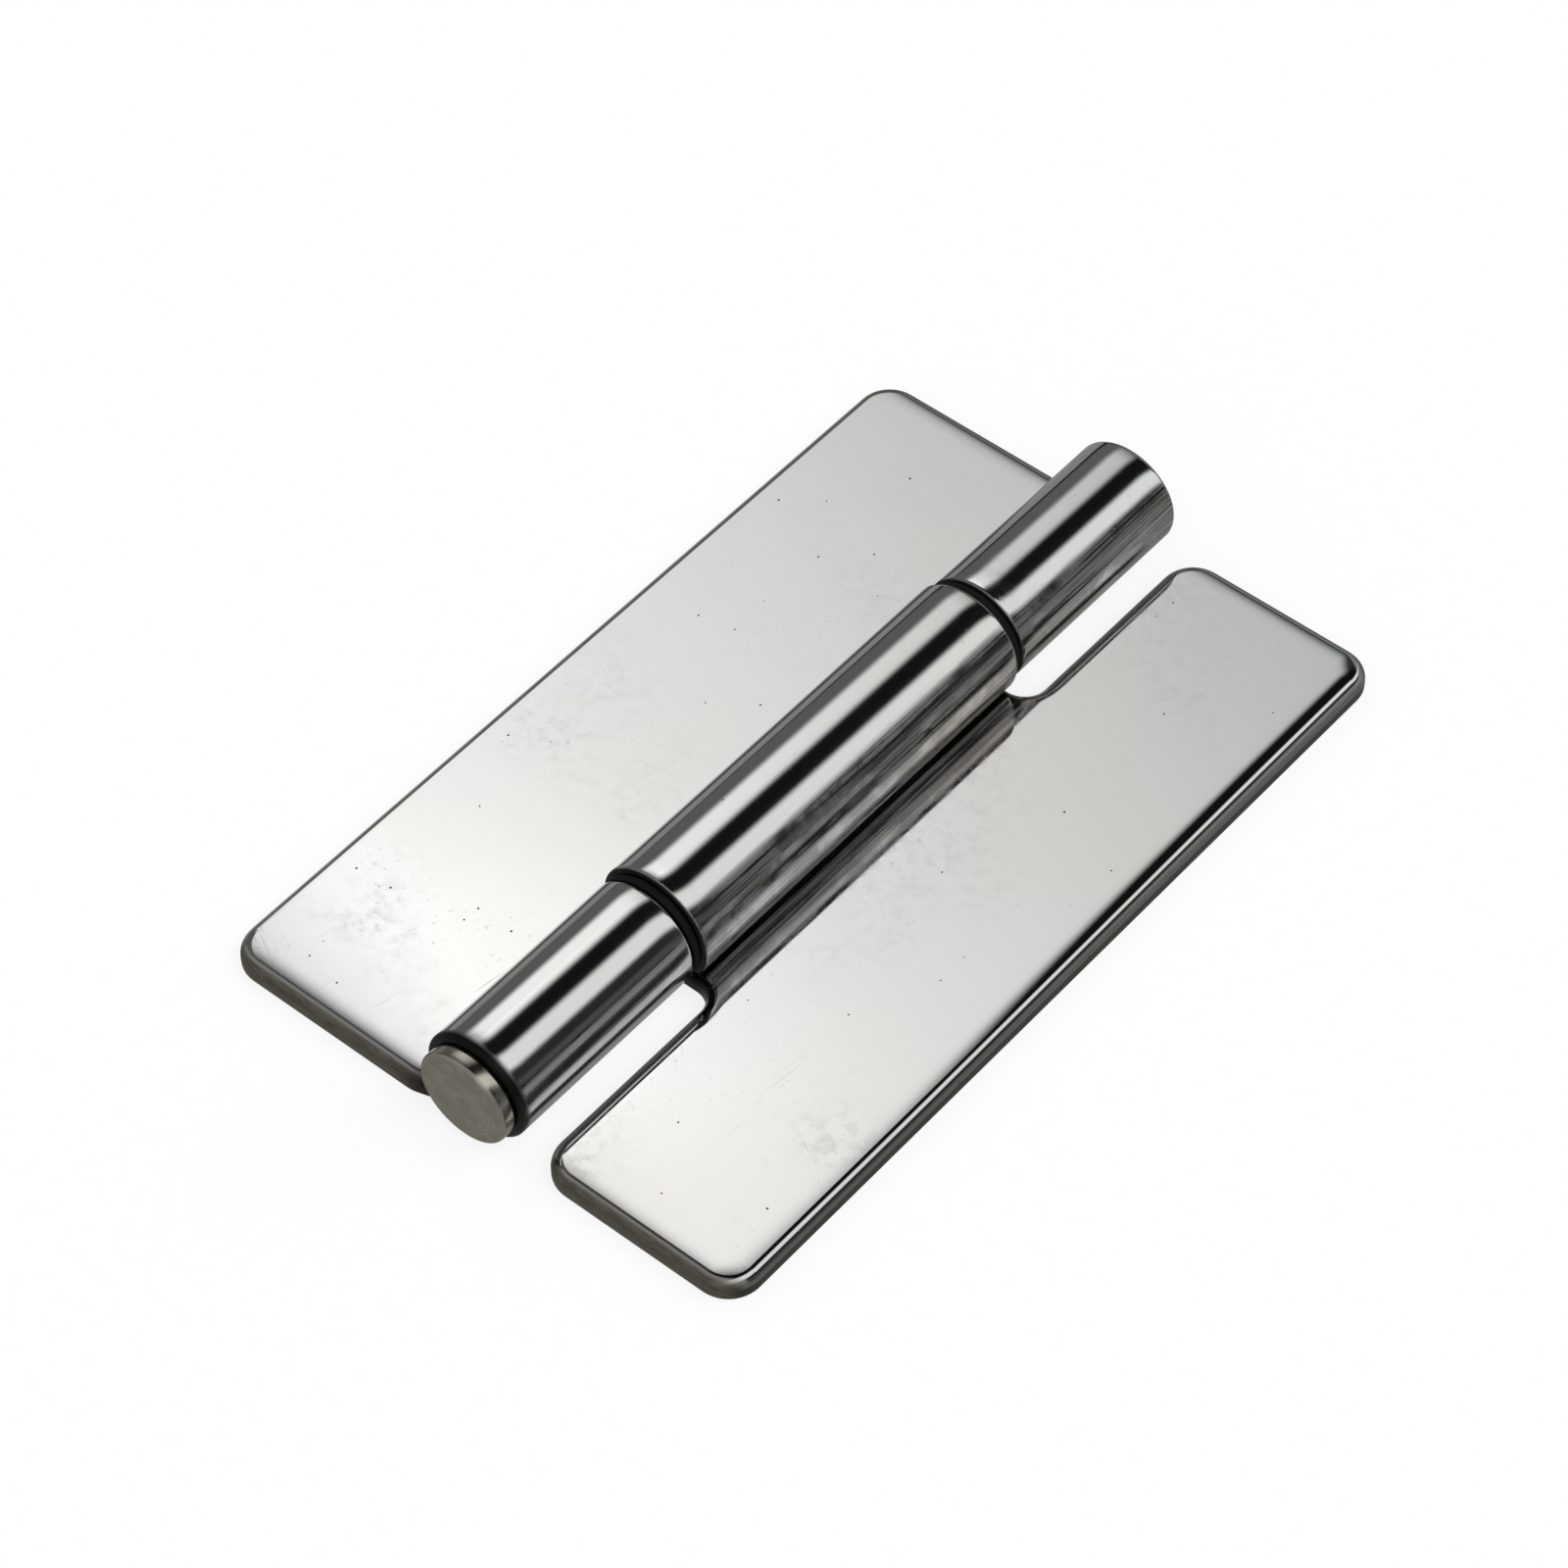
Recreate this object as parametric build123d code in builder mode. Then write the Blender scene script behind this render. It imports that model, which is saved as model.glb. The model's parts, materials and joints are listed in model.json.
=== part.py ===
"""Weld-on butt hinge in polished stainless sheet, without screw holes, opened out flat.

X runs across the leaves, Y along the pin with its head towards -Y, and Z up from the plane
that both leaf backs lie on. The origin is on that plane, under the pin and midway along the
whole hinge. Millimetres.
"""
from build123d import *
from math import hypot, radians, tan
import os

os.makedirs("parts", exist_ok=True)

# Leaves
leaf_length = 80.0
leaf_reach = 25.6  # pin axis to the outer edge of a leaf
sheet = 2.0
corner_radius = 3.0
slot_corner_radius = 2.0  # inner corners beside the knuckles
face_edge_radius = 0.95  # polished rounding of the upper edges
back_edge_radius = 0.45  # the same rounding runs on round the knuckle ends

# Barrel
pin_diameter = 6.0
knuckle_wall = 1.85  # the sheet thins a little as it is curled and polished
centre_length = 38.3
bend_reach = 3.0  # the flat sheet starts to curl this far from the pin axis
seam_angle = 31.0  # the curl's tip stops at this angle below the axis, over its own leaf

# Pin head and tail
head_inset = 0.625  # outer knuckle to the head's rim, all round
head_thickness = 1.55
head_face_radius = 0.45
head_seat_radius = 0.35
head_setback = 0.6  # the knuckle under the head is this much shorter than the leaf
head_relief_run = 2.0  # the leaf's end sweeps back to that knuckle over this width
head_relief_radius = 3.0
tail_chamfer = 0.4

# Flanged bushes
bush_wall = 0.3
bush_length = 8.0
bush_lead = 0.15
flange_thickness = 0.7
flange_inset = 0.05  # outer knuckle to the flange's rim, all round
flange_edge_radius = 0.12

# Clearances
running_fit = 0.03  # radial, pin in bush
end_play = 0.05  # along the pin, flange to outer knuckle
knuckle_clearance = 1.02  # slot and notch walls to the widest knuckle

# Sizes that follow from those
pin_radius = pin_diameter / 2
bush_bore = pin_radius + running_fit
centre_bore = bush_bore + bush_wall
outer_radius = pin_radius + knuckle_wall
centre_radius = centre_bore + knuckle_wall
axis_height = centre_radius
head_radius = outer_radius - head_inset
flange_radius = outer_radius - flange_inset
slot_reach = centre_radius + knuckle_clearance

# Stations along the pin
leaf_middle = (head_thickness - head_setback) / 2
near_edge = leaf_middle - leaf_length / 2
far_edge = leaf_middle + leaf_length / 2
near_centre = leaf_middle - centre_length / 2
far_centre = leaf_middle + centre_length / 2
near_notch = near_centre - flange_thickness - end_play
far_notch = far_centre + flange_thickness + end_play
head_seat = near_edge + head_setback
head_face = head_seat - head_thickness


def across_pin(station):
    """Plane across the pin, centred on it; what is extruded from it grows towards -Y."""
    return Plane((0, station, axis_height), x_dir=(1, 0, 0), z_dir=(0, -1, 0))


def curled_knuckle(outer, bore, side, start, end):
    """Length of sheet curled round the pin, from station start to station end.

    side is +1 for the leaf on +X and -1 for the leaf on -X. The sheet leaves its flat at
    bend_reach, runs on under the pin, goes once round it, and stops at seam_angle, which
    leaves an open wedge above the leaf. An eye as large as the axis is high sits on the
    flat's own line. A smaller one is met by a wide arc that touches both the flat and the eye.
    """
    drop = axis_height - sheet
    flat_back = (side * bend_reach, -axis_height)
    flat_face = (side * bend_reach, -drop)
    seam_mouth = (side * drop / tan(radians(seam_angle)), -drop)
    with BuildPart() as knuckle:
        with BuildSketch(across_pin(end)):
            Circle(outer)
            with BuildLine():
                if outer < axis_height:
                    rise = (bend_reach**2 + axis_height**2 - outer**2) / (2 * (axis_height - outer))
                    arc_centre = Vector(flat_back[0], rise - axis_height)
                    touch = arc_centre.normalized() * -outer
                    middle = Vector(flat_back[0] / 2, -axis_height)
                    halfway = arc_centre + (middle - arc_centre).normalized() * rise
                    ThreePointArc(flat_back, halfway, touch)
                else:
                    touch = (0, -outer)
                    Line(flat_back, touch)
                Polyline(touch, (0, 0), flat_face, flat_back)
            make_face()
            Polygon((0, 0), seam_mouth, flat_face, (0, -bore), align=None, mode=Mode.SUBTRACT)
            Circle(bore, mode=Mode.SUBTRACT)
        extrude(amount=end - start)
        rims = knuckle.edges().filter_by(GeomType.CIRCLE)
        fillet([rim for rim in rims if rim.radius > bore + knuckle_wall / 2], back_edge_radius)
    return knuckle.part


def round_sheet_edges(leaf):
    """Round the upper and lower edges of a flat leaf, all but those where the curl goes on."""
    for end, radius in ((-1, face_edge_radius), (0, back_edge_radius)):
        rim = leaf.faces().filter_by(Plane.XY).sort_by(Axis.Z)[end].edges()
        fillet([edge for edge in rim if abs(edge.center().X) > 1.01 * bend_reach], radius)


def widest_rims(turned):
    """The largest circular edges of a turned piece, in order along the pin."""
    return turned.edges().filter_by(GeomType.CIRCLE).group_by(SortBy.RADIUS)[-1].sort_by(Axis.Y)


def corners_near(outline, *points):
    """The corners of an outline that lie nearest to some points."""
    return [outline.vertices().sort_by_distance(Vector(*point))[0] for point in points]


# Frame leaf: the leaf on -X, notched for the centre knuckle, curled at both ends
near_knuckle = curled_knuckle(outer_radius, pin_radius, -1, head_seat, near_notch)
far_knuckle = curled_knuckle(outer_radius, pin_radius, -1, far_notch, far_edge)
with BuildPart() as frame_leaf:
    relief_end = (-(slot_reach - head_relief_run), head_seat)
    with BuildSketch() as outline:
        with Locations((-(leaf_reach + bend_reach) / 2, leaf_middle)):
            Rectangle(leaf_reach - bend_reach, leaf_length)
        fillet(corners_near(outline, (-leaf_reach, near_edge), (-leaf_reach, far_edge)), corner_radius)
        with Locations((-(slot_reach + bend_reach) / 2, leaf_middle)):
            Rectangle(slot_reach - bend_reach, far_notch - near_notch, mode=Mode.SUBTRACT)
        fillet(corners_near(outline, (-slot_reach, near_notch), (-slot_reach, far_notch)),
               slot_corner_radius)
        Polygon((-slot_reach, near_edge), relief_end, (-bend_reach, head_seat),
                (-bend_reach, near_edge), align=None, mode=Mode.SUBTRACT)
        fillet(corners_near(outline, (-slot_reach, near_edge), relief_end), head_relief_radius)
    extrude(amount=sheet)
    round_sheet_edges(frame_leaf)
    add(near_knuckle)
    add(far_knuckle)
frame_leaf.part.label = "frame_leaf"
export_step(frame_leaf.part, "parts/frame_leaf.step")

# Door leaf: the leaf on +X, slotted at both ends beside its one centre knuckle
centre_knuckle = curled_knuckle(centre_radius, centre_bore, 1, near_centre, far_centre)
with BuildPart() as door_leaf:
    with BuildSketch() as outline:
        with Locations(((leaf_reach + slot_reach) / 2, leaf_middle)):
            Rectangle(leaf_reach - slot_reach, leaf_length)
        fillet(outline.vertices(), corner_radius)
        with Locations(((slot_reach + bend_reach) / 2, leaf_middle)):
            Rectangle(slot_reach - bend_reach, centre_length)
        fillet(corners_near(outline, (slot_reach, near_centre), (slot_reach, far_centre)),
               slot_corner_radius)
    extrude(amount=sheet)
    round_sheet_edges(door_leaf)
    add(centre_knuckle)
door_leaf.part.label = "door_leaf"
export_step(door_leaf.part, "parts/door_leaf.step")

# Hinge pin: plain shank pressed into the outer knuckles, with a flat head at the near end
with BuildPart() as hinge_pin:
    with BuildSketch(across_pin(far_edge)):
        Circle(pin_radius)
    extrude(amount=far_edge - head_seat)
    chamfer(hinge_pin.edges().sort_by(Axis.Y)[-1], tail_chamfer)
    with BuildSketch(across_pin(head_seat)):
        Circle(head_radius)
    extrude(amount=head_thickness)
    fillet(widest_rims(hinge_pin)[0], head_face_radius)
    fillet(widest_rims(hinge_pin)[-1], head_seat_radius)
hinge_pin.part.label = "hinge_pin"
export_step(hinge_pin.part, "parts/hinge_pin.step")

# Flanged bushes: thin sleeves pressed into the ends of the centre knuckle, flanges outside it
for name, mouth, inward in (("near_bush", near_centre, 1), ("far_bush", far_centre, -1)):
    with BuildPart() as bush:
        mouth_plane = Plane((0, mouth, axis_height), x_dir=(1, 0, 0), z_dir=(0, inward, 0))
        with BuildSketch(mouth_plane):
            Circle(centre_bore)
        extrude(amount=bush_length)
        chamfer(bush.faces().sort_by(Axis.Y)[-1 if inward > 0 else 0].edges(), bush_lead)
        with BuildSketch(mouth_plane):
            Circle(flange_radius)
        extrude(amount=-flange_thickness)
        fillet(widest_rims(bush), flange_edge_radius)
        with BuildSketch(mouth_plane):
            Circle(bush_bore)
        extrude(amount=flange_thickness + bush_length, both=True, mode=Mode.SUBTRACT)
    bush.part.label = name
    export_step(bush.part, "parts/" + name + ".step")
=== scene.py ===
"""Weld-on butt hinge in polished stainless sheet, opened out flat on a pale studio floor.

Metres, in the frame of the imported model: X across the leaves, Y along the pin with its head
towards -Y, Z up from the leaf backs.
"""
import json
from math import pi, radians

import bpy
import numpy as np
from mathutils import Matrix, Vector


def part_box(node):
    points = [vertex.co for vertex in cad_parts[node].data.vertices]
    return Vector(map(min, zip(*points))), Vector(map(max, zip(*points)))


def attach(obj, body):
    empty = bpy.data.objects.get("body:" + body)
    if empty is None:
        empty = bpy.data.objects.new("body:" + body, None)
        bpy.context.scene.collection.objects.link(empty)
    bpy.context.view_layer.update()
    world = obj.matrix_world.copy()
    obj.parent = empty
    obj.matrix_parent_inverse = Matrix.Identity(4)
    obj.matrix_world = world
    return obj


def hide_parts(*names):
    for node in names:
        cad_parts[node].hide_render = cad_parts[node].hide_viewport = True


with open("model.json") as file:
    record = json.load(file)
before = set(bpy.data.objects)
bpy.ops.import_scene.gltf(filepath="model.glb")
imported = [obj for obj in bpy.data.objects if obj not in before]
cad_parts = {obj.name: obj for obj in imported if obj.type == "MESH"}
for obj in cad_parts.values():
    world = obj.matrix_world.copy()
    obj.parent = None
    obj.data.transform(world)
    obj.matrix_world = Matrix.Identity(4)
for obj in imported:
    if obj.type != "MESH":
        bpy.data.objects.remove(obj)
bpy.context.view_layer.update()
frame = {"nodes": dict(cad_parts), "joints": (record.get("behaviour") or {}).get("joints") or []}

# ---------------------------------------------------------------------------------------------
# The two leaves. Each is a blank of 2 mm stainless sheet with its tabs curled round the pin,
# buffed bright all over after curling. Buffing leaves hairlines, a few pits and a slightly
# sagging surface near the edges; the sheared edges and knuckle ends stay duller. Painted shade
# darkens the sheared edges and knuckle ends, the knuckle mouths, sides facing +X and the rims of
# the slots.
# ---------------------------------------------------------------------------------------------
axis_height = frame["joints"][0]["pos_m"][2]
barrel_reach = 0.0055  # no knuckle comes out as far as this from the pin axis
blur = 0.0002  # over this distance one kind of surface passes into another
sheet_top = 0.0020
leaf_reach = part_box("door_leaf")[1].x
leaf_ends = [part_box("door_leaf")[0].y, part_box("door_leaf")[1].y]
leaf_middle = sum(leaf_ends) / 2
half_length = (leaf_ends[1] - leaf_ends[0]) / 2


def add_node(tree, kind, inputs, **settings):
    """A shader node with its settings; each input is linked to a socket or given a value."""
    node = tree.nodes.new("ShaderNode" + kind)
    for setting, value in settings.items():
        setattr(node, setting, value)
    for name, value in inputs.items():
        if isinstance(value, bpy.types.NodeSocket):
            tree.links.new(value, node.inputs[name])
        else:
            node.inputs[name].default_value = value
    return node


def sums(tree, operation, *terms):
    """One step of arithmetic on numbers or sockets."""
    return add_node(tree, "Math", dict(enumerate(terms)), operation=operation).outputs[0]


def fade(tree, value, start, end, low=0.0, high=1.0):
    """Smooth step of a value, from low at start to high at end. Start may be the larger."""
    limits = {"Value": value, "From Min": start, "From Max": end, "To Min": low, "To Max": high}
    return add_node(tree, "MapRange", limits, interpolation_type="SMOOTHSTEP").outputs["Result"]


def blend_colours(tree, amount, first, second):
    """A colour that goes from first to second as amount goes from 0 to 1."""
    mix = add_node(tree, "Mix", {0: amount}, data_type="RGBA")
    for socket, colour in ((mix.inputs[6], first), (mix.inputs[7], second)):
        if isinstance(colour, bpy.types.NodeSocket):
            tree.links.new(colour, socket)
        else:
            socket.default_value = (*colour, 1)
    return mix.outputs[2]


def noise(tree, vector, scale, detail=2.0, roughness=0.5):
    """Plain fractal noise, about 0.5 on average; scale is in waves per metre."""
    inputs = {"Vector": vector, "Scale": scale, "Detail": detail, "Roughness": roughness}
    return add_node(tree, "TexNoise", inputs).outputs[0]


def stretched(tree, vector, turn, scale):
    """Coordinates turned about Z and then scaled apart, for grain that runs one way."""
    inputs = {"Vector": vector, "Rotation": (0, 0, turn)}
    turned_vector = add_node(tree, "Mapping", inputs).outputs[0]
    return add_node(tree, "Mapping", {"Vector": turned_vector, "Scale": scale}).outputs[0]


def open_group(name, inputs, outputs):
    """An empty shader group with named sockets: its tree, input sockets and output sockets."""
    tree = bpy.data.node_groups.new(name, "ShaderNodeTree")
    for label, kind in inputs.items():
        tree.interface.new_socket(label, in_out="INPUT", socket_type="NodeSocket" + kind)
    for label, kind in outputs.items():
        tree.interface.new_socket(label, in_out="OUTPUT", socket_type="NodeSocket" + kind)
    entry = tree.nodes.new("NodeGroupInput").outputs
    leave = tree.nodes.new("NodeGroupOutput").inputs
    return tree, entry, leave


def use_group(tree, group, inputs):
    """A group placed in a material, with its own values; returns its output sockets."""
    node = tree.nodes.new("ShaderNodeGroup")
    node.node_tree = group
    for name, value in inputs.items():
        if isinstance(value, bpy.types.NodeSocket):
            tree.links.new(value, node.inputs[name])
        else:
            node.inputs[name].default_value = value
    return node.outputs


def open_material(name):
    """A new material: its node tree, its Principled node and its Object coordinates node."""
    material = bpy.data.materials.new(name)
    material.use_nodes = True
    tree = material.node_tree
    return material, tree, tree.nodes["Principled BSDF"], tree.nodes.new("ShaderNodeTexCoord")


def connect(tree, shader, **sockets):
    """Links sockets to the Principled inputs of the same names, with _ for a space."""
    for name, socket in sockets.items():
        tree.links.new(socket, shader.inputs[name.replace("_", " ")])


# Buffing marks: hairlines in two slanting directions and clusters of flecks where the wheel
# skipped, sparse pits, and greasy fingermarks. Heights are in metres.
buffing, entry, leave = open_group(
    "buffing_marks",
    {"Vector": "Vector", "Hairlines": "Float", "Pits": "Float", "Smudges": "Float",
     "Waves": "Float"},
    {"Hairline": "Float", "Pit": "Float", "Smudge": "Float", "Height": "Float"})
lines_along = stretched(buffing, entry["Vector"], radians(7), (4200, 130, 400))
lines_across = stretched(buffing, entry["Vector"], radians(-64), (3700, 160, 300))
patches = fade(buffing, noise(buffing, entry["Vector"], 95, 3.0), 0.47, 0.68)
first_lines = fade(buffing, noise(buffing, lines_along, 1.0, 3.0), 0.66, 0.80)
second_lines = fade(buffing, noise(buffing, lines_across, 1.0, 3.0), 0.64, 0.78)
flecks = fade(buffing, noise(buffing, entry["Vector"], 2100, 2.0, 0.6), 0.62, 0.72)
clustered = sums(buffing, "MULTIPLY", sums(buffing, "MAXIMUM", second_lines, flecks), patches)
hairline = sums(buffing, "MAXIMUM", first_lines, clustered)
hairline = sums(buffing, "MULTIPLY", hairline, entry["Hairlines"])
cells = add_node(buffing, "TexVoronoi", {"Vector": entry["Vector"], "Scale": 300.0},
                 voronoi_dimensions="2D")
cell_draw = add_node(buffing, "SeparateColor", {"Color": cells.outputs["Color"]})
pit_size = fade(buffing, cell_draw.outputs["Red"], 0.72, 1.0, 0.0, 0.032)
pit_edge = sums(buffing, "SUBTRACT", pit_size, cells.outputs["Distance"])
pit = sums(buffing, "MULTIPLY", fade(buffing, pit_edge, 0.0, 0.012), entry["Pits"])
smear = fade(buffing, noise(buffing, entry["Vector"], 70, 3.0), 0.46, 0.70)
ridges = fade(buffing, noise(buffing, entry["Vector"], 900, 4.0, 0.7), 0.38, 0.66)
smudge = sums(buffing, "MULTIPLY", sums(buffing, "MULTIPLY", smear, ridges), entry["Smudges"])
long_wave = sums(buffing, "MULTIPLY", noise(buffing, entry["Vector"], 45, 0.0), 16e-6)
short_wave = sums(buffing, "MULTIPLY", noise(buffing, entry["Vector"], 300, 2.0), 1.3e-6)
wave = sums(buffing, "MULTIPLY", sums(buffing, "ADD", long_wave, short_wave), entry["Waves"])
scored = sums(buffing, "MULTIPLY_ADD", hairline, -0.6e-6, wave)
height = sums(buffing, "MULTIPLY_ADD", pit, -10e-6, scored)
for label, socket in (("Hairline", hairline), ("Pit", pit), ("Smudge", smudge), ("Height", height)):
    buffing.links.new(socket, leave[label])

# Cut faces: on the flat of a leaf wherever the surface stands upright, and on the barrel only
# where it faces along the pin. Buffing reaches less of the roundings at the ends of the leaves.
# Painted shade: a near-black colour stands for the shade in the mouths of the knuckles and under
# the pin's head, and a thinner coat of it for the shade on sides that face +X, such as the door
# leaf's outer side. The first output takes in these places as well as the cut faces.
head_thickness = 0.00155
head_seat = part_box("hinge_pin")[0].y + head_thickness
cut_faces_and_shade, entry, leave = open_group(
    "cut_faces_and_shade", {"Vector": "Vector", "Normal": "Vector"}, {"Cut": "Float", "Painted Shade": "Float"})
place = add_node(cut_faces_and_shade, "SeparateXYZ", {"Vector": entry["Vector"]}).outputs
facing = add_node(cut_faces_and_shade, "SeparateXYZ", {"Vector": entry["Normal"]}).outputs
off_axis = sums(cut_faces_and_shade, "ABSOLUTE", place["X"])
on_leaf = fade(cut_faces_and_shade, off_axis, barrel_reach, barrel_reach + blur)
upright = fade(cut_faces_and_shade, sums(cut_faces_and_shade, "ABSOLUTE", facing["Z"]), 0.30, 0.12)
endways = fade(cut_faces_and_shade, sums(cut_faces_and_shade, "ABSOLUTE", facing["Y"]), 0.12, 0.62)
cut = sums(cut_faces_and_shade, "MAXIMUM", sums(cut_faces_and_shade, "MULTIPLY", on_leaf, upright), endways)
# Painted shade masks: the knuckle mouths, the knuckle under the pin's head, and sides facing +X
off_leaf = fade(cut_faces_and_shade, off_axis, 0.0090, 0.0040)
under_head = fade(cut_faces_and_shade, place["Y"], head_seat + 0.0011, head_seat + 0.0004)
mouth = sums(cut_faces_and_shade, "MULTIPLY", off_leaf, sums(cut_faces_and_shade, "MAXIMUM", endways, under_head))
painted_side_shade = sums(cut_faces_and_shade, "MULTIPLY", on_leaf, fade(cut_faces_and_shade, facing["X"], 0.5, 0.9, 0.0, 0.6))
painted_shade = sums(cut_faces_and_shade, "MAXIMUM", mouth, painted_side_shade)
cut_faces_and_shade.links.new(sums(cut_faces_and_shade, "MAXIMUM", cut, painted_shade), leave["Cut"])
cut_faces_and_shade.links.new(painted_shade, leave["Painted Shade"])

# Roll-off: the buffing wheel takes a little more away near the edges, so that the face falls
# as the cube of how far a point is within the band beside the leaf's outer side, its two ends,
# its slots or the mouths of the knuckles. The second output is a mask of painted shade, a
# near-black colour, on the rims of the slots beside the knuckles.
half_gap = 0.0004  # about half the gap between two knuckles, where a bush flange stands
flange_face = (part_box("far_bush")[1].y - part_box("near_bush")[0].y) / 2
gap_middle = flange_face - 0.75 * half_gap  # both from the middle of the leaves
knuckle_clearance = 0.00102  # from a knuckle to the edge of the slot that it stands in
slot_reach = knuckle_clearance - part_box("door_leaf")[0].x
corner_radius = 0.0030
roll_off_and_rim_shade, entry, leave = open_group(
    "roll_off_and_rim_shade",
    {"Vector": "Vector", "Side Band": "Float", "Side Fall": "Float", "End Band": "Float",
     "End Fall": "Float", "Slot Band": "Float", "Slot Fall": "Float", "Mouth Band": "Float",
     "Mouth Fall": "Float"},
    {"Height": "Float", "Slot Rim Shade": "Float"})
place = add_node(roll_off_and_rim_shade, "SeparateXYZ", {"Vector": entry["Vector"]}).outputs
off_axis = sums(roll_off_and_rim_shade, "ABSOLUTE", place["X"])
off_middle = sums(roll_off_and_rim_shade, "ABSOLUTE", sums(roll_off_and_rim_shade, "SUBTRACT", place["Y"], leaf_middle))
to_end = sums(roll_off_and_rim_shade, "SUBTRACT", half_length, off_middle)
to_side = sums(roll_off_and_rim_shade, "SUBTRACT", leaf_reach, off_axis)
to_slot = sums(roll_off_and_rim_shade, "SUBTRACT", off_axis, slot_reach)
# Round the leaf's outer corners the two bands run into one another about the corner's centre
past_side = sums(roll_off_and_rim_shade, "MAXIMUM", sums(roll_off_and_rim_shade, "SUBTRACT", corner_radius, to_side), 0.0)
past_end = sums(roll_off_and_rim_shade, "MAXIMUM", sums(roll_off_and_rim_shade, "SUBTRACT", corner_radius, to_end), 0.0)
squares = sums(roll_off_and_rim_shade, "MULTIPLY", past_end, past_end)
squares = sums(roll_off_and_rim_shade, "MULTIPLY_ADD", past_side, past_side, squares)
to_rim = sums(roll_off_and_rim_shade, "SUBTRACT", corner_radius, sums(roll_off_and_rim_shade, "SQRT", squares))
past_both = sums(roll_off_and_rim_shade, "MAXIMUM", sums(roll_off_and_rim_shade, "ADD", past_side, past_end), 1e-6)
side_share = fade(roll_off_and_rim_shade, sums(roll_off_and_rim_shade, "DIVIDE", past_side, past_both), 0.0, 0.85)
end_share = sums(roll_off_and_rim_shade, "SUBTRACT", 1.0, side_share)
to_gap = sums(roll_off_and_rim_shade, "ABSOLUTE", sums(roll_off_and_rim_shade, "SUBTRACT", off_middle, gap_middle))
to_gap = sums(roll_off_and_rim_shade, "SUBTRACT", to_gap, half_gap)
to_near = sums(roll_off_and_rim_shade, "SUBTRACT", place["Y"], head_seat)
to_far = sums(roll_off_and_rim_shade, "SUBTRACT", leaf_ends[1], place["Y"])
to_mouth = sums(roll_off_and_rim_shade, "MINIMUM", to_gap, sums(roll_off_and_rim_shade, "MINIMUM", to_near, to_far))


def fallen(distance, edge):
    """Height lost at a distance from an edge: fall times the cube of 1 - distance / band."""
    within = sums(roll_off_and_rim_shade, "DIVIDE", distance, entry[edge + " Band"])
    within = sums(roll_off_and_rim_shade, "MAXIMUM", sums(roll_off_and_rim_shade, "SUBTRACT", 1.0, within), 0.0)
    return sums(roll_off_and_rim_shade, "MULTIPLY", sums(roll_off_and_rim_shade, "POWER", within, 3.0), entry[edge + " Fall"])


on_leaf = fade(roll_off_and_rim_shade, off_axis, barrel_reach, barrel_reach + blur)
uneven = fade(roll_off_and_rim_shade, place["Y"], leaf_ends[0] + 0.012, leaf_ends[1] - 0.008, 0.16, 1.0)
lopsided = fade(roll_off_and_rim_shade, place["Y"], leaf_ends[0] + 0.010, leaf_ends[1] - 0.010, 1.0, 3.6)
uneven = sums(roll_off_and_rim_shade, "MULTIPLY", uneven, side_share)
lopsided = sums(roll_off_and_rim_shade, "MULTIPLY", lopsided, end_share)
end_fall = sums(roll_off_and_rim_shade, "MULTIPLY", fallen(to_rim, "End"), lopsided)
leaf_fall = sums(roll_off_and_rim_shade, "MULTIPLY_ADD", fallen(to_rim, "Side"), uneven, end_fall)
by_slot = fade(roll_off_and_rim_shade, off_middle, gap_middle, gap_middle + 0.0025)
leaf_fall = sums(roll_off_and_rim_shade, "MULTIPLY_ADD", fallen(to_slot, "Slot"), by_slot, leaf_fall)
leaf_fall = sums(roll_off_and_rim_shade, "MULTIPLY", on_leaf, leaf_fall)
on_barrel = sums(roll_off_and_rim_shade, "SUBTRACT", 1.0, on_leaf)
sunk = sums(roll_off_and_rim_shade, "MULTIPLY_ADD", on_barrel, fallen(to_mouth, "Mouth"), leaf_fall)
roll_off_and_rim_shade.links.new(sums(roll_off_and_rim_shade, "MULTIPLY", sunk, -1.0), leave["Height"])
# Painted shade: a near-black band on the rims of the slots, beside the knuckles
on_slotted = fade(roll_off_and_rim_shade, place["X"], slot_reach - 0.001, slot_reach)
on_slotted = sums(roll_off_and_rim_shade, "MULTIPLY", on_slotted, by_slot)
slot_rim_shade = sums(roll_off_and_rim_shade, "MULTIPLY", on_slotted, fade(roll_off_and_rim_shade, to_slot, 0.00085, 0.00030))
roll_off_and_rim_shade.links.new(slot_rim_shade, leave["Slot Rim Shade"])

# Drawn lines: the curling die scores the barrel lengthwise, mostly on its +X side, and the strip
# of leaf beside the centre knuckle keeps its drawn finish, since no buffing wheel gets in there.
drawn_lines, entry, leave = open_group(
    "drawn_lines", {"Vector": "Vector"}, {"Barrel": "Float", "Score": "Float", "Streak": "Float"})
place = add_node(drawn_lines, "SeparateXYZ", {"Vector": entry["Vector"]}).outputs
off_axis = sums(drawn_lines, "ABSOLUTE", place["X"])
beside = fade(drawn_lines, off_axis, barrel_reach + blur, barrel_reach)
above = fade(drawn_lines, place["Z"], sheet_top + 0.00008, sheet_top + 0.0004)
barrel = sums(drawn_lines, "MULTIPLY", beside, above)
lengthwise = stretched(drawn_lines, entry["Vector"], 0, (4800, 60, 4800))
streak = noise(drawn_lines, lengthwise, 1.0, 4.0, 0.6)
breaks = fade(drawn_lines, noise(drawn_lines, entry["Vector"], 210, 4.0, 0.6), 0.28, 0.54)
near_gap = leaf_middle - gap_middle
depth = fade(drawn_lines, place["Y"], near_gap - half_gap, near_gap, 0.30, 1.0)  # by knuckle
score = fade(drawn_lines, place["X"], 0.0029, 0.0041, 0.0, depth)
score = sums(drawn_lines, "MULTIPLY", score, breaks)
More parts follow.
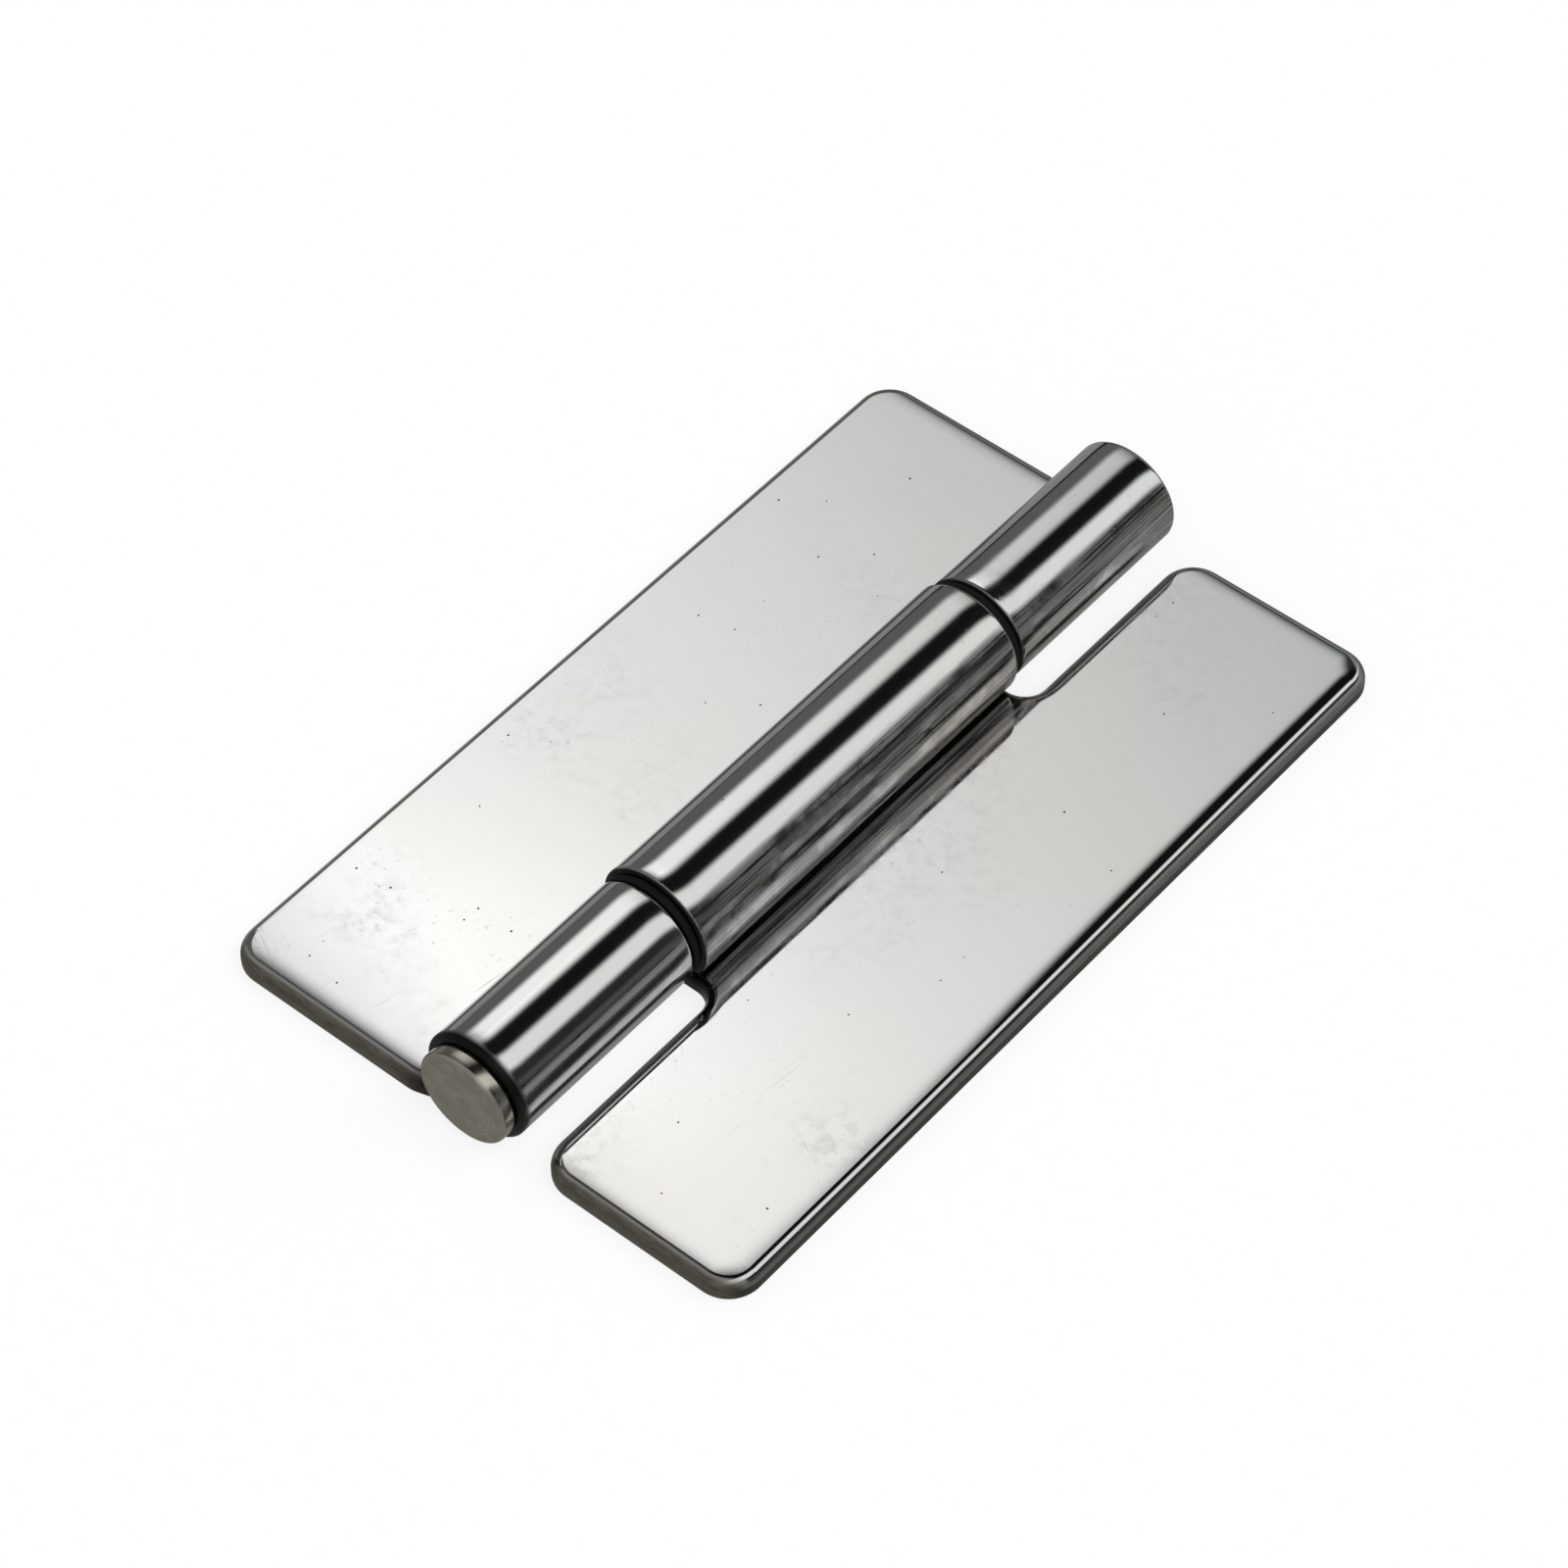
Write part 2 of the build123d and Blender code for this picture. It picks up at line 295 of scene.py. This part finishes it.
drawn_lines.links.new(barrel, leave["Barrel"])
unbuffed = sums(drawn_lines, "SUBTRACT", fade(drawn_lines, place["X"], 0.0071, 0.0062), beside)
off_middle = sums(drawn_lines, "ABSOLUTE", sums(drawn_lines, "SUBTRACT", place["Y"], leaf_middle))
between_slots = fade(drawn_lines, off_middle, gap_middle + 0.0005, gap_middle - 0.0005)
door_leaf_only = fade(drawn_lines, place["X"], 0.0, 0.001)
between_slots = sums(drawn_lines, "MULTIPLY", between_slots, door_leaf_only)
unbuffed = sums(drawn_lines, "MULTIPLY", sums(drawn_lines, "MAXIMUM", unbuffed, 0.0), between_slots)
score = sums(drawn_lines, "MULTIPLY_ADD", score, barrel, unbuffed)
drawn_lines.links.new(score, leave["Score"])
drawn_lines.links.new(streak, leave["Streak"])


def buffed_sheet(name, marks_shift, side, end, slot):
    """Bright buffed stainless sheet with duller cut faces and painted shade.

    marks_shift moves its marks along. side, end and slot each give how wide the roll-off is
    beside that edge and how far it falls.
    """
    material, tree, shader, coordinates = open_material(name)
    place = coordinates.outputs["Object"]
    shifted = add_node(tree, "Mapping", {"Vector": place, "Location": marks_shift}).outputs[0]
    marks = use_group(tree, buffing, {
        "Vector": shifted, "Hairlines": 0.8, "Pits": 1.0, "Smudges": 1.0, "Waves": 1.0})
    rolled_and_rim_shade = use_group(tree, roll_off_and_rim_shade, {
        "Vector": place, "Side Band": side[0], "Side Fall": side[1], "End Band": end[0],
        "End Fall": end[1], "Slot Band": slot[0], "Slot Fall": slot[1], "Mouth Band": 0.0022,
        "Mouth Fall": 0.00006})
    facing = {"Vector": place, "Normal": coordinates.outputs["Normal"]}
    faces = use_group(tree, cut_faces_and_shade, facing)
    # This mask also covers the painted shade, so those places take the darker cut-face colour
    cut = faces["Cut"]
    drawn = use_group(tree, drawn_lines, {"Vector": place})

    # Colour: a faint drift from cool to warm steel, darker in pits, under smudges and in the
    # grooves between drawn lines, with painted shade on the cut faces, in the knuckle mouths and on
    # the rims of the slots
    drift = fade(tree, noise(tree, shifted, 32, 1.0), 0.35, 0.65)
    steel = blend_colours(tree, drift, (0.635, 0.645, 0.645), (0.655, 0.640, 0.615))
    dulled = sums(tree, "MULTIPLY", marks["Hairline"], 0.16)
    dulled = sums(tree, "MULTIPLY_ADD", marks["Smudge"], 0.12, dulled)
    steel = blend_colours(tree, dulled, steel, (0.30, 0.29, 0.27))
    groove = fade(tree, drawn["Streak"], 0.44, 0.58)
    streaked = sums(tree, "MULTIPLY", drawn["Score"], fade(tree, groove, 0.0, 1.0, 0.05, 0.90))
    steel = blend_colours(tree, streaked, steel, (0.22, 0.21, 0.185))
    steel = blend_colours(tree, marks["Pit"], steel, (0.16, 0.15, 0.13))
    shear = noise(tree, stretched(tree, place, 0, (900, 900, 12000)), 1.0, 2.0)
    shear_tint = fade(tree, shear, 0.35, 0.65)
    # Cut faces: a dark brownish colour, partly the duller sheared finish and partly painted shade
    # for the shaded floor that these faces mirror
    sheared_and_shaded = blend_colours(tree, shear_tint, (0.170, 0.152, 0.124), (0.255, 0.232, 0.194))
    # Painted shade: near-black in the knuckle mouths, under the pin's head and, more thinly, on
    # sides facing +X
    sheared_and_shaded = blend_colours(tree, faces["Painted Shade"], sheared_and_shaded, (0.022, 0.021, 0.019))
    # Painted shade on the rims of the slots: a near-black colour
    steel = blend_colours(tree, rolled_and_rim_shade["Slot Rim Shade"], steel, (0.05, 0.048, 0.044))
    connect(tree, shader, Base_Color=blend_colours(tree, cut, steel, sheared_and_shaded))

    # Roughness: mirror bright, hazier under smudges and hairlines and between the drawn lines,
    # satin on cut faces
    haze = sums(tree, "MULTIPLY_ADD", marks["Smudge"], 0.09, 0.045)
    haze = sums(tree, "MULTIPLY_ADD", marks["Hairline"], 0.12, haze)
    haze = sums(tree, "MULTIPLY_ADD", marks["Pit"], 0.35, haze)
    haze = sums(tree, "MULTIPLY_ADD", drawn["Barrel"], 0.045, haze)
    burr = fade(tree, groove, 1.0, 0.0, 0.05, 0.25)
    haze = sums(tree, "MULTIPLY_ADD", drawn["Score"], burr, haze)
    connect(tree, shader, Roughness=fade(tree, cut, 0.0, 1.0, haze, 0.36))
    shader.inputs["Metallic"].default_value = 1.0

    relief = sums(tree, "ADD", marks["Height"], rolled_and_rim_shade["Height"])
    scored = sums(tree, "MULTIPLY", drawn["Barrel"], 0.15e-6)
    scored = sums(tree, "MULTIPLY_ADD", drawn["Score"], 3.4e-6, scored)
    relief = sums(tree, "MULTIPLY_ADD", drawn["Streak"], scored, relief)
    relief = sums(tree, "MULTIPLY_ADD", sums(tree, "MULTIPLY", shear, cut), 6e-6, relief)
    bump = add_node(tree, "Bump", {"Height": relief, "Distance": 1.0, "Strength": 1.0})
    connect(tree, shader, Normal=bump.outputs["Normal"])
    return material


frame_steel = buffed_sheet("frame_leaf_steel", (0.113, 0.042, 0.0),
                           side=(0.0016, 0.00002), end=(0.0026, 0.00004), slot=(0.001, 0.0))
door_steel = buffed_sheet("door_leaf_steel", (0.271, -0.065, 0.0),
                          side=(0.0030, 0.00075), end=(0.0024, 0.000035), slot=(0.0018, 0.00020))
frame["nodes"]["frame_leaf"].material_slots[0].material = frame_steel
frame["nodes"]["door_leaf"].material_slots[0].material = door_steel

# ---------------------------------------------------------------------------------------------
# Hinge pin. Turned from carbon steel bar and chemically darkened: a plain shank pressed into
# the outer knuckles, a flat head with a rounded rim at the near end, a chamfered tail.
# ---------------------------------------------------------------------------------------------
pin_low, pin_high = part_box("hinge_pin")
head_radius = pin_high.x
shank_radius = 0.0030
head_face_radius = 0.00045
head_seat_radius = 0.00035
tail_chamfer = 0.0004
facing_feed = 0.00026  # the facing tool's advance for each turn, which leaves rings this far apart
facing_depth = 0.0000035
centre_pip_radius = 0.00028
centre_pip_height = 0.000018
tip_radius = 0.00004  # of the innermost ring at either end of the pin
crease = 0.00005  # a ring this far from an inner corner keeps its shading crisp


def quarter(radius, centre_station, centre_radius, first, last, steps=9):
    """Stations and radii along an arc; an angle of 0 faces +Y and 90 degrees away from the axis."""
    angle = np.radians(np.linspace(first, last, steps))
    return np.stack([centre_station + radius * np.cos(angle),
                     centre_radius + radius * np.sin(angle)])


def turned(name, profile, closed_loop=False, segments=192):
    """A closed turned piece about the pin axis.

    The profile holds stations along Y and radii. A point at angle t on ring i is
    (radius cos t, station, axis height + radius sin t), and quads join neighbouring rings.
    A closed loop joins its last ring to its first. An open profile starts and ends on the
    axis, where a fan of triangles closes it. Outer surfaces are listed towards +Y.
    """
    stations, radii = profile
    angle = np.arange(segments) * 2 * pi / segments
    rings = np.stack([np.outer(radii, np.cos(angle)), np.outer(stations, np.ones(segments)),
                      axis_height + np.outer(radii, np.sin(angle))], axis=2)
    points = rings.reshape(-1, 3)
    here = np.arange(segments)
    after = np.roll(here, -1)
    spans = len(radii) if closed_loop else len(radii) - 1
    start = np.arange(spans)[:, None] * segments
    ahead = (start + segments) % len(points)
    faces = np.stack([start + here, ahead + here, ahead + after, start + after], axis=2)
    faces = faces.reshape(-1, 4).tolist()
    if not closed_loop:
        tips = [[0, stations[0], axis_height], [0, stations[-1], axis_height]]
        last = (len(radii) - 1) * segments
        first_fan = np.stack([here, after, np.full(segments, len(points))], axis=1)
        last_fan = np.stack([last + after, last + here, np.full(segments, len(points) + 1)], axis=1)
        points = np.concatenate([points, tips])
        faces += first_fan.tolist() + last_fan.tolist()
    mesh = bpy.data.meshes.new(name)
    mesh.from_pydata(points.tolist(), [], faces)
    mesh.shade_smooth()
    mesh.set_sharp_from_angle(angle=radians(40))
    piece = bpy.data.objects.new(name, mesh)
    bpy.context.scene.collection.objects.link(piece)
    return piece


face_edge = head_radius - head_face_radius
face_radii = np.linspace(tip_radius, face_edge, 150)
face_rings = facing_depth * (1 + np.cos(2 * pi * face_radii / facing_feed)) / 2
pip = centre_pip_height * np.exp(-(face_radii / centre_pip_radius) ** 4)
shank_end = pin_high.y - tail_chamfer
shank_stations = np.linspace(head_seat + crease, shank_end - crease, 40)
pin_profile = np.concatenate([
    np.stack([pin_low.y + centre_pip_height + facing_depth - face_rings - pip, face_radii]),
    quarter(head_face_radius, pin_low.y + centre_pip_height + head_face_radius, face_edge, 180, 90),
    quarter(head_seat_radius, head_seat - head_seat_radius, head_radius - head_seat_radius, 90, 0),
    np.array([[head_seat, head_seat], [shank_radius + crease, shank_radius]]),
    np.stack([shank_stations, np.full(len(shank_stations), shank_radius)]),
    np.array([[shank_end, pin_high.y, pin_high.y],
              [shank_radius, shank_radius - tail_chamfer, tip_radius]])], axis=1)
pin = turned("turned_pin", pin_profile)

material, tree, shader, coordinates = open_material("darkened_pin_steel")
place = coordinates.outputs["Object"]
centred = add_node(tree, "Mapping", {"Vector": place, "Location": (0, 0, -axis_height)}).outputs[0]
spread = add_node(tree, "SeparateXYZ", {"Vector": centred}).outputs
off_axis = add_node(tree, "CombineXYZ", {"X": spread["X"], "Z": spread["Z"]}).outputs[0]
radius = add_node(tree, "VectorMath", {0: off_axis}, operation="LENGTH").outputs["Value"]
tool_rings = add_node(tree, "TexNoise", {"W": radius, "Scale": 5200.0, "Detail": 3.0},
                      noise_dimensions="1D").outputs[0]
marks = use_group(tree, buffing, {
    "Vector": place, "Hairlines": 0.5, "Pits": 0.8, "Smudges": 1.0, "Waves": 0.6})
bloom = fade(tree, noise(tree, place, 900, 4.0, 0.6), 0.35, 0.68)
oxide = blend_colours(tree, bloom, (0.40, 0.385, 0.30), (0.49, 0.475, 0.38))
ringed = fade(tree, tool_rings, 0.40, 0.70, 0.0, 0.35)
oxide = blend_colours(tree, ringed, oxide, (0.31, 0.295, 0.235))
rubbed = fade(tree, radius, face_edge + 0.00008, head_radius - 0.00006, 0.0, 0.9)
oxide = blend_colours(tree, rubbed, oxide, (0.50, 0.48, 0.41))
oxide = blend_colours(tree, marks["Pit"], oxide, (0.06, 0.055, 0.045))
connect(tree, shader, Base_Color=oxide)
satin = sums(tree, "MULTIPLY_ADD", tool_rings, 0.16, sums(tree, "MULTIPLY_ADD", bloom, 0.10, 0.36))
satin = sums(tree, "MULTIPLY_ADD", rubbed, -0.30, satin)
connect(tree, shader, Roughness=satin)
shine = sums(tree, "MULTIPLY_ADD", rubbed, 0.6, fade(tree, bloom, 0.0, 1.0, 0.50, 0.36))
connect(tree, shader, Metallic=shine)
relief = sums(tree, "MULTIPLY_ADD", tool_rings, 2.5e-6, marks["Height"])
bump = add_node(tree, "Bump", {"Height": relief, "Distance": 1.0, "Strength": 1.0})
connect(tree, shader, Normal=bump.outputs["Normal"])
pin.data.materials.append(material)
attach(pin, "frame_side")
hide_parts("hinge_pin")

# ---------------------------------------------------------------------------------------------
# Two flanged bushes, moulded in black nylon: a thin sleeve pressed into each end of the centre
# knuckle, and a flange that stands between the knuckles and takes the thrust.
# ---------------------------------------------------------------------------------------------
flange_thickness = 0.0007
flange_edge_radius = 0.00012
flange_draft = 0.00003  # the rim is fuller at its middle, where the mould halves meet
running_fit = 0.00003
sleeve_wall = 0.0003
bush_bore = shank_radius + running_fit
sleeve_radius = bush_bore + sleeve_wall
sleeve_lead = 0.00015
corner = 0.00008  # a ring this far from each corner of the section keeps its shading crisp
flange_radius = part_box("near_bush")[1].x
bush_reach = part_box("near_bush")[1].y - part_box("near_bush")[0].y


def bush_profile():
    """Stations and radii of a bush whose flange face is at 0 and whose sleeve runs towards +Y."""
    edge = flange_edge_radius
    rim = flange_radius - flange_draft
    rim_run = np.linspace(edge, flange_thickness - edge, 7)[1:-1]
    crown = flange_draft * (1 - (2 * rim_run / flange_thickness - 1) ** 2)
    return np.concatenate([
        np.stack([np.zeros(5), np.linspace(bush_bore + corner, rim - edge - corner / 2, 5)]),
        quarter(edge, edge, rim - edge, 180, 90),
        np.stack([rim_run, rim + crown]),
        quarter(edge, flange_thickness - edge, rim - edge, 90, 0),
        np.array([[flange_thickness, flange_thickness], [sleeve_radius + corner, sleeve_radius]]),
        np.stack([np.linspace(flange_thickness + corner, bush_reach - sleeve_lead, 8),
                  np.full(8, sleeve_radius)]),
        np.array([[bush_reach, bush_reach], [sleeve_radius - sleeve_lead, bush_bore]]),
        np.stack([np.linspace(bush_reach - corner, corner, 9), np.full(9, bush_bore)]),
        np.array([[0.0], [bush_bore]])], axis=1)


material, tree, shader, coordinates = open_material("black_nylon")
place = coordinates.outputs["Object"]
grain = noise(tree, place, 5200, 3.0, 0.6)
cloud = fade(tree, noise(tree, place, 420, 3.0), 0.35, 0.65)
marks = use_group(tree, buffing, {
    "Vector": place, "Hairlines": 0.4, "Pits": 0.5, "Smudges": 1.0, "Waves": 0.5})
nylon = blend_colours(tree, cloud, (0.0075, 0.0075, 0.0080), (0.0130, 0.0128, 0.0125))
nylon = blend_colours(tree, marks["Hairline"], nylon, (0.05, 0.05, 0.05))
connect(tree, shader, Base_Color=nylon)
sheen = sums(tree, "MULTIPLY_ADD", grain, 0.25, sums(tree, "MULTIPLY_ADD", cloud, 0.12, 0.46))
connect(tree, shader, Roughness=sheen)
shader.inputs["Specular IOR Level"].default_value = 0.22
relief = sums(tree, "MULTIPLY_ADD", grain, 3e-6, marks["Height"])
bump = add_node(tree, "Bump", {"Height": relief, "Distance": 1.0, "Strength": 1.0})
connect(tree, shader, Normal=bump.outputs["Normal"])

stations, radii = bush_profile()
near_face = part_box("near_bush")[0].y
far_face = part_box("far_bush")[1].y
near_bush = turned("near_flanged_bush", (near_face + stations, radii), closed_loop=True)
far_bush = turned("far_flanged_bush", (far_face - stations[::-1], radii[::-1]), closed_loop=True)
for bush, node in ((near_bush, "near_bush"), (far_bush, "far_bush")):
    bush.data.materials.append(material)
    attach(bush, "door_side")
    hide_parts(node)

# ---------------------------------------------------------------------------------------------
# Studio. A white table top, two long soft boxes that run the length of the pin, and dark
# card between and beside them, which gives the bright steel its stripes.
# ---------------------------------------------------------------------------------------------
table_half = 3.0
table_drop = 0.00005
corners = table_half * np.array([[-1, -1, 0], [1, -1, 0], [1, 1, 0], [-1, 1, 0]])
corners[:, 2] = -table_drop
mesh = bpy.data.meshes.new("table_top")
mesh.from_pydata(corners.tolist(), [], [(0, 1, 2, 3)])
table = bpy.data.objects.new("table_top", mesh)
bpy.context.scene.collection.objects.link(table)

# Seen directly the table is white with a faint shadow; the steel sees it as grey card.
material, tree, shader, coordinates = open_material("white_table")
speckle = fade(tree, noise(tree, coordinates.outputs["Object"], 700, 3.0), 0.3, 0.7)
painted = blend_colours(tree, speckle, (0.48, 0.48, 0.48), (0.50, 0.50, 0.50))
connect(tree, shader, Base_Color=painted)
shader.inputs["Roughness"].default_value = 0.9
shader.inputs["Emission Color"].default_value = (1, 1, 1, 1)
shader.inputs["Emission Strength"].default_value = 0.80
card = add_node(tree, "Emission", {"Color": (0.29, 0.29, 0.284, 1), "Strength": 1.0})
direct = tree.nodes.new("ShaderNodeLightPath").outputs["Is Camera Ray"]
either = add_node(tree, "MixShader", {0: direct, 1: card.outputs[0], 2: shader.outputs[0]})
tree.links.new(either.outputs[0], tree.nodes["Material Output"].inputs["Surface"])
table.data.materials.append(material)

scene = bpy.context.scene
scene.view_settings.view_transform = "Standard"
world = bpy.data.worlds.new("studio")
scene.world = world
world.use_nodes = True
tree = world.node_tree
tree.nodes.clear()
direction = tree.nodes.new("ShaderNodeTexCoord").outputs["Generated"]
toward = add_node(tree, "SeparateXYZ", {"Vector": direction}).outputs
round_pin = sums(tree, "ARCTAN2", toward["Z"], toward["X"])
round_pin = sums(tree, "MULTIPLY", round_pin, 180 / pi)  # degrees up from +X, about the pin
# The boxes stand a little askew: their angle drifts as they run away along the pin
skew = sums(tree, "SUBTRACT", sums(tree, "MAXIMUM", toward["Y"], 0.36), 0.49)
round_pin = sums(tree, "MULTIPLY_ADD", skew, 55, round_pin)


def strip(first, last, brightness, soft=2.0):
    """A strip of light along the pin between two angles, with soft borders."""
    rise = fade(tree, round_pin, first - soft, first + soft)
    fall = fade(tree, round_pin, last + soft, last - soft)
    return sums(tree, "MULTIPLY", sums(tree, "MULTIPLY", rise, fall), brightness)


# The left box is brightest towards the near end of the pin, where it has a hotter core
near_border = fade(tree, toward["Y"], 0.372, 0.436, 0.08, 1.0)
along = fade(tree, toward["Y"], 0.36, 0.66, 1.92, 0.68)
aside = fade(tree, round_pin, 112, 124, 0.94, 1.0)
left_box = sums(tree, "MULTIPLY", strip(106, 144, 1.0, 7.0), sums(tree, "MULTIPLY", along, aside))
core = sums(tree, "MULTIPLY", strip(114.0, 118.8, 0.28, 1.5), fade(tree, toward["Y"], 0.49, 0.43))
left_box = sums(tree, "MULTIPLY", sums(tree, "ADD", left_box, core), near_border)
left_box = sums(tree, "MULTIPLY", left_box, fade(tree, toward["Y"], 0.585, 0.68, 1.0, 0.10))
right_box = strip(36, 68, 1.30, 6.0)
light = sums(tree, "ADD", left_box, right_box)
for card in (strip(145, 178, 0.17), strip(14, 35, 0.035), strip(2, 14, 0.12), strip(69, 105, 0.01)):
    light = sums(tree, "ADD", light, card)
# Along the pin the boxes give way to white walls, which soften the stripes in other views
behind = fade(tree, toward["Y"], 0.10, -0.15)
astray = sums(tree, "MAXIMUM", behind, fade(tree, toward["Y"], 0.80, 0.93))
walls = sums(tree, "MULTIPLY_ADD", light, 0.45, fade(tree, toward["Z"], 0.0, 0.6, 0.30, 0.42))
light = add_node(tree, "Mix", {0: astray, 2: light, 3: walls}, data_type="FLOAT").outputs[0]
light = sums(tree, "MULTIPLY", light, fade(tree, toward["Z"], -0.02, 0.0))
studio = add_node(tree, "Background", {"Strength": light})
backdrop = add_node(tree, "Background", {"Color": (1, 1, 1, 1), "Strength": 1.0})
direct = tree.nodes.new("ShaderNodeLightPath").outputs["Is Camera Ray"]
either = add_node(tree, "MixShader", {0: direct, 1: studio.outputs[0], 2: backdrop.outputs[0]})
add_node(tree, "OutputWorld", {"Surface": either.outputs[0]})

# ---------------------------------------------------------------------------------------------
# Camera. A long lens from above the near right corner, a little under half a metre away.
# ---------------------------------------------------------------------------------------------
target = Vector((-0.0031, 0.00046, 0.0020))
azimuth = radians(40.35)  # from straight down the pin, towards +X
elevation = radians(49.59)
roll = radians(-0.525)
distance = 0.4183
lens = 122.45

back = Matrix.Rotation(azimuth, 3, "Z") @ Matrix.Rotation(-elevation, 3, "X") @ Vector((0, -1, 0))
right = Vector((0, 0, 1)).cross(back).normalized()
axes = Matrix((right, back.cross(right), back)).transposed() @ Matrix.Rotation(roll, 3, "Z")
lens_data = bpy.data.cameras.new("camera")
lens_data.lens = lens
lens_data.sensor_width = 36.0
lens_data.clip_start = 0.01
lens_data.clip_end = 20.0
camera = bpy.data.objects.new("camera", lens_data)
camera.matrix_world = Matrix.Translation(target + distance * back) @ axes.to_4x4()
scene.collection.objects.link(camera)
scene.camera = camera
